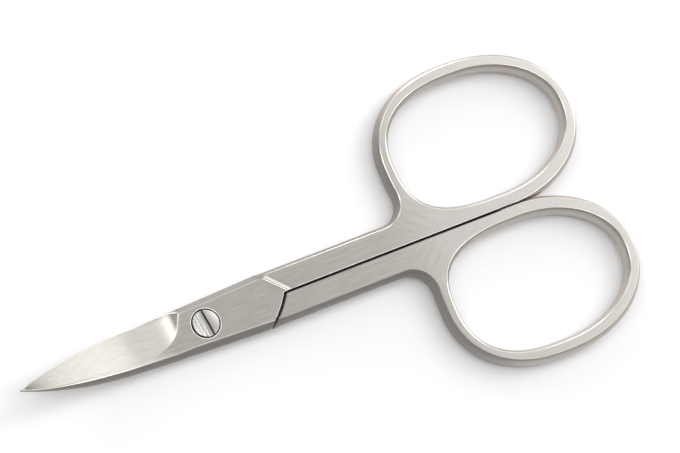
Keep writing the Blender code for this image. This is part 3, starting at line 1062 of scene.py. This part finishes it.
@dataclass
class Screw:
    """The slotted pivot screw, threaded into the lower half."""

    name: str = "slotted_screw"
    body: str = "lower"
    node: str = "pivot_screw"
    head_radius: float = 1.87 * MM
    head_rim_z: float = 2.62 * MM
    head_under_z: float = 2.05 * MM
    dome: float = 0.07 * MM
    chamfer: float = 0.05 * MM
    slot_width: float = 0.76 * MM
    slot_depth: float = 0.42 * MM
    slot_angle: float = SLOT_ANGLE
    steep: float = 0.4
    shaft_radius: float = 1.25 * MM
    shaft_end_z: float = 1.45 * MM
    core_radius: float = 0.82 * MM
    thread_radius: float = 1.0 * MM
    thread_end_z: float = 0.38 * MM
    pitch: float = 0.4 * MM
    sides: int = 96
    dome_rows: int = 8
    thread_sides: int = 40
    ridge_sides: int = 4

    def profile(self) -> list[tuple[float, float]]:
        """Outline of the turned screw.

        Returns:
            Pairs of radius and height, from beside the middle of its dome to its far end.
        """
        points = []
        radius = self.head_radius - self.chamfer
        for share in spread(0, 1, self.dome_rows)[1:] + [1.0]:
            points.append((radius * share, self.head_rim_z + self.dome * (1 - share ** 2)))
        points += [(self.head_radius, self.head_rim_z - self.chamfer), (self.head_radius, self.head_under_z),
                   (self.shaft_radius, self.head_under_z), (self.shaft_radius, self.shaft_end_z),
                   (self.core_radius, self.shaft_end_z),
                   (self.core_radius, self.thread_end_z + self.chamfer),
                   (self.core_radius - self.chamfer, self.thread_end_z)]
        return points

    def turned(self) -> bpy.types.Object:
        """Turn the screw and cut its slot.

        Returns:
            The screw without its thread. The attribute "hidden" is 1 on its steep faces, which get painted
            black shade.
        """
        bm = bmesh.new()
        rings = [ring(bm, SCREW, radius, z, self.sides) for radius, z in self.profile()]
        middle = bm.verts.new((SCREW.x, SCREW.y, self.head_rim_z + self.dome))
        for index in range(self.sides):
            following = (index + 1) % self.sides
            bm.faces.new((middle, rings[0][index], rings[0][following]))
            for outer, inner in zip(rings[1:], rings):
                bm.faces.new((inner[index], outer[index], outer[following], inner[following]))
        bm.faces.new(rings[-1][::-1])
        bmesh.ops.recalc_face_normals(bm, faces=bm.faces)
        screw = mesh_object("screw_blank", bm)

        # The cutter is twice as deep as the slot, so its middle lies at the top of the dome.
        place = Matrix.Translation((SCREW.x, SCREW.y, self.head_rim_z + self.dome))
        turned = Matrix.Rotation(self.slot_angle, 4, "Z")
        size = Matrix.Diagonal((self.slot_width, 2 * self.head_radius, 2 * self.slot_depth, 1.0))
        slot = bmesh.new()
        bmesh.ops.create_cube(slot, size=1.0, matrix=place @ turned @ size)
        cutter = mesh_object("slot_cutter", slot)
        cut = screw.modifiers.new("slot", "BOOLEAN")
        cut.object = cutter
        cut.operation = "DIFFERENCE"
        cut.solver = "EXACT"
        graph = bpy.context.evaluated_depsgraph_get()
        screw.data = bpy.data.meshes.new_from_object(screw.evaluated_get(graph))
        screw.modifiers.clear()
        bpy.data.objects.remove(cutter)
        # The steep faces, the slot's walls and the head's sides, are marked for painted black shade.
        marks = screw.data.attributes.new("painted_shade", "FLOAT", "FACE").data
        for polygon, mark in zip(screw.data.polygons, marks):
            mark.value = float(abs(polygon.normal.z) < self.steep)
        return screw

    def lathe(self) -> Workshop:
        """Tree that winds a thread as a ridge along a helix, and joins it to what goes in.

        Returns:
            The tree.
        """
        tree = Workshop("lathe", {"Radius": "NodeSocketFloat", "Pitch": "NodeSocketFloat",
                                  "Length": "NodeSocketFloat", "Sides": "NodeSocketInt",
                                  "Ridge": "NodeSocketFloat", "Foot": "NodeSocketVector"})
        given = tree.given
        turns = tree.math("DIVIDE", given["Length"], given["Pitch"])
        helix = tree.add("GeometryNodeCurveSpiral", {
            "Resolution": given["Sides"], "Rotations": turns, "Start Radius": given["Radius"],
            "End Radius": given["Radius"], "Height": given["Length"]})
        ridge = tree.add("GeometryNodeCurvePrimitiveCircle",
                         {"Resolution": self.ridge_sides, "Radius": given["Ridge"]})
        wound = tree.add("GeometryNodeCurveToMesh", {
            "Curve": helix.outputs[0], "Profile Curve": ridge.outputs[0], "Fill Caps": True})
        placed = tree.add("GeometryNodeTransform",
                          {"Geometry": wound.outputs[0], "Translation": given["Foot"]})
        joined = tree.add("GeometryNodeJoinGeometry", {"Geometry": placed.outputs[0]})
        tree.join(given["Geometry"], joined.inputs[0])
        tree.end(joined.outputs[0])
        return tree

    def build(self, steel: bpy.types.Material) -> bpy.types.Object:
        """Build the screw in its place.

        Args:
            steel: Its material.

        Returns:
            The finished screw, riding on its body in place of its CAD node.
        """
        blank = self.turned()
        ridge = self.thread_radius - self.core_radius
        length = self.shaft_end_z - self.thread_end_z - 2 * ridge - self.chamfer
        screw = self.lathe().run(self.name, blank.data, {
            "Radius": self.core_radius, "Pitch": self.pitch, "Length": length,
            "Sides": self.thread_sides, "Ridge": ridge,
            "Foot": (SCREW.x, SCREW.y, self.thread_end_z + self.chamfer + ridge), "Material": steel})
        bpy.data.objects.remove(blank)
        screw.data.shade_smooth()
        screw.data.set_sharp_from_angle(angle=SCREW_CREASE)
        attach(screw, self.body)
        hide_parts(self.node)
        return screw


def mesh_object(name: str, bm: bmesh.types.BMesh) -> bpy.types.Object:
    """Make an object of a mesh in the making.

    Args:
        name: The object's name, and its mesh's.
        bm: The mesh in the making, which is freed.

    Returns:
        The object, linked to the scene.
    """
    mesh = bpy.data.meshes.new(name)
    bm.to_mesh(mesh)
    bm.free()
    thing = bpy.data.objects.new(name, mesh)
    bpy.context.scene.collection.objects.link(thing)
    return thing


class Patch(NamedTuple):
    """A finish, painted shade or painted highlight for part of the surface: how much of it shows at each
    place, from 0 to 1, and its colour and polish.
    """

    place: bpy.types.NodeSocket
    colour: tuple[float, float, float]
    roughness: float
    metallic: float = 1.0


@dataclass(frozen=True)
class Steel:
    """What the two steels share: a colour, a polish and fine grain."""

    name: str
    colour: tuple[float, float, float]
    colour_range: float
    roughness: float
    grain_width: float
    grain_length: float
    grain_depth: float
    grain_detail: float = field(default=3.0, kw_only=True)
    grain_decay: float = field(default=0.65, kw_only=True)
    polish_range: float = field(default=0.15, kw_only=True)
    # Painted shade: a black, rough, non-metallic colour on the walls inside the screw's recess and on the
    # screw's steep faces, so that the ring gap and the slot show black.
    gap_shade_colour: tuple[float, float, float] = field(default=(0.012, 0.011, 0.01), kw_only=True)
    gap_roughness: float = field(default=1.0, kw_only=True)

    def start(self) -> tuple[bpy.types.Material, Tree, bpy.types.Node]:
        """Start the material, with its uniform values set on the shader's own sockets.

        Returns:
            The material, its tree and its shader.
        """
        material = bpy.data.materials.new(self.name)
        material.use_nodes = True
        shader = material.node_tree.nodes["Principled BSDF"]
        shader.inputs["Metallic"].default_value = 1.0
        shader.inputs["Roughness"].default_value = self.roughness
        return material, Tree(material.node_tree), shader

    def lines(self, tree: Tree, along: Feed, across: Feed, third: Feed = 0.0) -> bpy.types.NodeSocket:
        """Noise drawn out to fine lines.

        Args:
            tree: The material's tree.
            along: Place along the lines, in metres.
            across: Place across them, in metres.
            third: Place in the third direction, in metres.

        Returns:
            The height of the lines, from 0 to 1.
        """
        spot = tree.vector(tree.math("DIVIDE", along, self.grain_length),
                           tree.math("DIVIDE", across, self.grain_width),
                           tree.math("DIVIDE", third, self.grain_width))
        return tree.add("ShaderNodeTexNoise", {"Vector": spot, "Scale": 1.0, "Detail": self.grain_detail,
                                               "Roughness": self.grain_decay}).outputs[0]

    def dress(self, tree: Tree, shader: bpy.types.Node, grain: bpy.types.NodeSocket,
              patches: Sequence[Patch]) -> None:
        """Let the grain and the patches show in colour, polish and relief.

        Args:
            tree: The material's tree.
            shader: Its shader.
            grain: Height of the grain, from 0 to 1.
            patches: The finishes, painted shade and painted highlights that cover part of the surface, each
                over the ones before.
        """
        dark, light = ((*[part * (1 + side * self.colour_range) for part in self.colour], 1.0)
                       for side in (-1, 1))
        colour = tree.mix_colour(grain, dark, light)
        polish = tree.ramp(grain, 0.0, 1.0, self.roughness * (1 - self.polish_range),
                           self.roughness * (1 + self.polish_range))
        metallic: Feed = 1.0
        for patch in patches:
            colour = tree.mix_colour(patch.place, colour, (*patch.colour, 1.0))
            polish = tree.mix(patch.place, polish, patch.roughness)
            metallic = tree.mix(patch.place, metallic, patch.metallic)
        relief = tree.add("ShaderNodeBump", {"Height": grain, "Strength": 1.0, "Distance": self.grain_depth})
        tree.join(colour, shader.inputs["Base Color"])
        tree.join(polish, shader.inputs["Roughness"])
        tree.join(metallic, shader.inputs["Metallic"])
        tree.join(relief.outputs[0], shader.inputs["Normal"])


@dataclass(frozen=True)
class SatinSteel(Steel):
    """Satin steel, brushed along the blades and shanks and round the finger loops."""

    name: str = "satin_steel"
    colour: tuple[float, float, float] = (0.64, 0.61, 0.56)
    colour_range: float = 0.12
    # The walls are rougher than the faces. Their dark colour is painted shade, standing for the shaded floor
    # that the blade and box walls mirror.
    side_shade_colour: tuple[float, float, float] = (0.38, 0.36, 0.34)
    side_roughness: float = 0.68
    # Painted light: the loops' walls are lighter than those of blade and box, standing for the bright floor
    # that they mirror.
    loop_side_light_colour: tuple[float, float, float] = (0.58, 0.535, 0.50)
    loop_side_roughness: float = 0.46
    # Painted light: the loops' faces are blended toward a paler colour, standing for the brighter reflection
    # they show.
    loop_light_colour: tuple[float, float, float] = (0.86, 0.82, 0.79)
    loop_light_share: float = 0.55
    # Painted shade: a dark, rough, non-metallic colour on the faces where the halves meet, so that the gap
    # between them shows dark.
    meeting_shade_colour: tuple[float, float, float] = (0.135, 0.13, 0.125)
    # Painted highlight: a near-white, half-metallic colour on the softened top edges of the meeting faces and
    # of the screw's recess, drawing bright lines along the gaps.
    edge_highlight_colour: tuple[float, float, float] = (0.95, 0.94, 0.92)
    edge_highlight_roughness: float = 0.3
    edge_highlight_metallic: float = 0.5
    roughness: float = 0.19
    grain_width: float = 0.22 * MM
    grain_length: float = 3.5 * MM
    grain_depth: float = 0.0016 * MM
    loop_x: float = 29.875 * MM
    loop_y: float = 11.0 * MM
    loop_half_length: float = 13.49 * MM
    loop_half_width: float = 9.35 * MM
    loop_power: float = 2.35
    turn_start: float = 10.0 * MM
    turn_end: float = 17.0 * MM
    loop_start: float = 11.0 * MM
    loop_end: float = 21.0 * MM
    loop_side_start: float = 14.0 * MM
    loop_side_end: float = 24.0 * MM

    def material(self) -> bpy.types.Material:
        """Build the material.

        Returns:
            The material, for a mesh with the attributes "side" (walls), "hidden" (painted black shade),
            "meeting" (painted dark shade) and "rubbed" (painted highlight).
        """
        material, tree, shader = self.start()
        x, y, z = tree.parts(tree.add("ShaderNodeTexCoord").outputs["Object"])
        straight = self.lines(tree, x, y, z)
        out_x = tree.math("DIVIDE", tree.math("SUBTRACT", x, self.loop_x), self.loop_half_length)
        out_y = tree.math("DIVIDE", tree.math("SUBTRACT", tree.math("ABSOLUTE", y), self.loop_y),
                          self.loop_half_width)
        powers = [tree.math("POWER", tree.math("ABSOLUTE", out), self.loop_power) for out in (out_x, out_y)]
        reach = tree.math("POWER", tree.math("ADD", *powers), 1 / self.loop_power)
        along_loop = tree.math("MULTIPLY", tree.math("ARCTAN2", out_y, out_x), self.loop_half_length)
        curved = self.lines(tree, along_loop, tree.math("MULTIPLY", reach, self.loop_half_width), z)
        grain = tree.mix(tree.ramp(x, self.turn_start, self.turn_end, soft=True), straight, curved)
        side, gap, meeting, edge_highlight = (tree.mark(name) for name in ("side", "painted_shade", "meeting", "edge_highlight"))
        loop_side = tree.math("MULTIPLY", side, tree.ramp(x, self.loop_side_start, self.loop_side_end))
        loop_light = tree.ramp(x, self.loop_start, self.loop_end, 0.0, self.loop_light_share, soft=True)
        # Over the grain, in order: painted light on the loops' faces, painted shade on the walls, painted
        # light on the loops' walls, a painted highlight on the softened gap edges, and painted shade on the
        # meeting faces and in the screw's recess.
        self.dress(tree, shader, grain, (
            Patch(loop_light, self.loop_light_colour, self.roughness),
            Patch(side, self.side_shade_colour, self.side_roughness),
            Patch(loop_side, self.loop_side_light_colour, self.loop_side_roughness),
            Patch(edge_highlight, self.edge_highlight_colour, self.edge_highlight_roughness, self.edge_highlight_metallic),
            Patch(meeting, self.meeting_shade_colour, self.gap_roughness, 0.0),
            Patch(gap, self.gap_shade_colour, self.gap_roughness, 0.0)))
        return material


@dataclass(frozen=True)
class BrightSteel(Steel):
    """Polished steel, scratched along the screw's slot and stained in its floor."""

    name: str = "bright_steel"
    colour: tuple[float, float, float] = (0.72, 0.705, 0.68)
    colour_range: float = 0.36
    deep_colour: tuple[float, float, float] = (0.42, 0.33, 0.28)
    deep_roughness: float = 0.35
    roughness: float = 0.14
    grain_width: float = 0.26 * MM
    grain_length: float = 6.0 * MM
    grain_depth: float = 0.01 * MM
    contrast: float = 3.0
    slot_angle: float = SLOT_ANGLE
    fade: float = 0.3 * MM
    calm: float = 0.06
    stain_top: float = 2.4 * MM
    stain_bottom: float = 2.3 * MM
    stain_size: float = 0.4 * MM
    stain_detail: float = 2.0
    stain_faint: float = 0.4
    stain_full: float = 0.7
    stain_start: float = 0.3 * MM
    stain_end: float = 0.9 * MM

    def material(self) -> bpy.types.Material:
        """Build the material.

        Returns:
            The material, for a mesh with the attribute "hidden", which marks the faces that get painted black
            shade.
        """
        material, tree, shader = self.start()
        spot = tree.add("ShaderNodeTexCoord").outputs["Object"]
        turned = tree.add("ShaderNodeVectorRotate", {"Vector": spot, "Center": SCREW,
                                                     "Axis": (0.0, 0.0, 1.0), "Angle": -self.slot_angle})
        across, along, z = tree.parts(turned.outputs[0])
        rough = tree.ramp(across, SCREW.x - self.fade, SCREW.x + self.fade, self.contrast, self.calm)
        lines = tree.math("SUBTRACT", self.lines(tree, along, across), 0.5)
        grain = tree.math("MULTIPLY_ADD", lines, rough, 0.5)
        noise = tree.add("ShaderNodeTexNoise", {"Vector": spot, "Scale": 1 / self.stain_size,
                                                "Detail": self.stain_detail}).outputs[0]
        low = tree.ramp(z, self.stain_top, self.stain_bottom)
        blotch = tree.ramp(noise, self.stain_faint, self.stain_full)
        end = tree.ramp(along, SCREW.y + self.stain_start, SCREW.y - self.stain_end)
        deep = tree.math("MULTIPLY", tree.math("MULTIPLY", low, blotch), end)
        # The brown stain in the slot's floor, then painted black shade on the steep faces of the slot and the
        # head.
        self.dress(tree, shader, grain, (
            Patch(deep, self.deep_colour, self.deep_roughness),
            Patch(tree.mark("painted_shade"), self.gap_shade_colour, self.gap_roughness, 0.0)))
        return material


class Glow(NamedTuple):
    """A soft round light far away: its middle's angle from straight up, its azimuth, and its reach.

    These are in degrees. Its strength is at its middle, and it fades to nothing at its reach.
    """

    zenith: float
    azimuth: float
    reach: float
    strength: float


@dataclass
class Studio:
    """Floor, soft light and camera.

    The glows stand for the bright parts of the room, which the steel mirrors.
    """

    aim: Vector = field(default_factory=lambda: Vector((6.94, 6.16, 0.0)) * MM)
    distance: float = 547.9 * MM
    azimuth: float = math.radians(21.77)
    elevation: float = math.radians(68.44)
    roll: float = math.radians(45.87)
    image_width: int = 680
    focal_pixels: float = 4000.0
    sensor: float = 36.0
    sight: float = 10.0
    floor_reach: float = 3.0
    floor_colour: tuple[float, float, float] = (0.93, 0.93, 0.935)
    floor_roughness: float = 0.12
    floor_glow: float = 0.06
    glow_power: float = 1.5
    even_light: float = 0.3
    glows: tuple[Glow, ...] = (
        Glow(7, 30, 9.5, 1.2), Glow(12, 60, 12, 0.6), Glow(12, 300, 12, 5.0),
        Glow(24, 54, 14, 0.25), Glow(24, 90, 14, 2.0), Glow(24, 162, 14, 3.0), Glow(24, 342, 14, 0.55),
        Glow(29, 17, 9.5, 0.5), Glow(34, 59, 9.5, 0.75),
        Glow(38, 0, 16, 0.6), Glow(38, 26, 16, 1.6), Glow(38, 154, 16, 4.0), Glow(38, 334, 16, 3.5),
        Glow(54, 11, 20, 5.0), Glow(54, 34, 20, 0.4), Glow(54, 56, 20, 1.2),
        Glow(70, 112, 24, 2.3), Glow(86, 11, 22, 5.5), Glow(86, 79, 22, 7.0))

    def camera(self) -> None:
        """Set the camera as the photograph was taken."""
        forward = Vector((math.cos(self.elevation) * math.cos(self.azimuth),
                          math.cos(self.elevation) * math.sin(self.azimuth),
                          -math.sin(self.elevation)))
        data = bpy.data.cameras.new("camera")
        data.sensor_width = self.sensor
        data.lens = self.sensor * self.focal_pixels / self.image_width
        data.clip_end = self.sight
        camera = bpy.data.objects.new("camera", data)
        turn = forward.to_track_quat("-Z", "Y") @ Quaternion((0.0, 0.0, 1.0), self.roll)
        place = Matrix.Translation(self.aim - forward * self.distance)
        camera.matrix_world = place @ turn.to_matrix().to_4x4()
        bpy.context.scene.collection.objects.link(camera)
        bpy.context.scene.camera = camera

    def floor(self) -> None:
        """Lay the glossy white floor."""
        bm = bmesh.new()
        bmesh.ops.create_grid(bm, x_segments=1, y_segments=1, size=self.floor_reach)
        floor = mesh_object("floor", bm)
        material = bpy.data.materials.new("glossy_white")
        material.use_nodes = True
        tree = Tree(material.node_tree)
        shader = material.node_tree.nodes["Principled BSDF"]
        shader.inputs["Base Color"].default_value = (*self.floor_colour, 1.0)
        shader.inputs["Roughness"].default_value = self.floor_roughness
        shader.inputs["Emission Color"].default_value = (1.0, 1.0, 1.0, 1.0)
        tree.join(tree.math("MULTIPLY", self.seen(tree), self.floor_glow), shader.inputs["Emission Strength"])
        floor.data.materials.append(material)

    @staticmethod
    def seen(tree: Tree) -> bpy.types.NodeSocket:
        """Tell whether a surface is seen or only lights others.

        Args:
            tree: The surface's material tree.

        Returns:
            1 where it is seen straight, mirrored or through glass, and 0 elsewhere.
        """
        rays = tree.add("ShaderNodeLightPath").outputs
        straight = tree.math("MAXIMUM", rays["Is Camera Ray"], rays["Is Glossy Ray"])
        return tree.math("MAXIMUM", straight, rays["Is Transmission Ray"])

    def sky(self) -> None:
        """Light the scene by the soft glows of the studio's ceiling and walls."""
        world = bpy.data.worlds.new("studio")
        world.use_nodes = True
        tree = Tree(world.node_tree)
        background = world.node_tree.nodes["Background"]
        way = tree.add("ShaderNodeTexCoord").outputs["Generated"]
        total: Feed = self.even_light
        for glow in self.glows:
            flat = math.sin(math.radians(glow.zenith))
            azimuth = math.radians(glow.azimuth)
            middle = (flat * math.cos(azimuth), flat * math.sin(azimuth), math.cos(math.radians(glow.zenith)))
            near = tree.add("ShaderNodeVectorMath", {0: way, 1: middle}, operation="DOT_PRODUCT")
            share = tree.ramp(near.outputs["Value"], math.cos(math.radians(glow.reach)), 1.0)
            soft = tree.math("POWER", share, self.glow_power)
            total = tree.math("MULTIPLY_ADD", soft, glow.strength, total)
        camera = tree.add("ShaderNodeLightPath").outputs["Is Camera Ray"]
        background.inputs["Color"].default_value = (1.0, 1.0, 1.0, 1.0)
        tree.join(tree.math("MAXIMUM", total, camera), background.inputs["Strength"])
        bpy.context.scene.world = world
        bpy.context.scene.view_settings.view_transform = "Standard"


def main() -> None:
    """Build every piece and the studio, and report each one."""
    logging.basicConfig(level=logging.INFO, format="%(name)s: %(message)s")
    satin = SatinSteel().material()
    forge = Half.forge()
    recess = Bore(radius=2.05 * MM, floor=0.45 * MM)
    clearance = Bore(radius=1.3 * MM, floor=None)
    threaded = Bore(radius=1.1 * MM, floor=None)
    halves = (Half("upper_forging", "upper", "upper_half", Layer.UPPER, (recess, clearance)),
              Half("lower_forging", "lower", "lower_half", Layer.LOWER, (threaded,)))
    pieces = [half.build(forge, satin) for half in halves]
    pieces.append(Screw().build(BrightSteel().material()))
    for piece in pieces:
        log.info("%s: %d faces", piece.name, len(piece.data.polygons))
    studio = Studio()
    studio.floor()
    studio.sky()
    studio.camera()


if __name__ == "__main__":
    main()
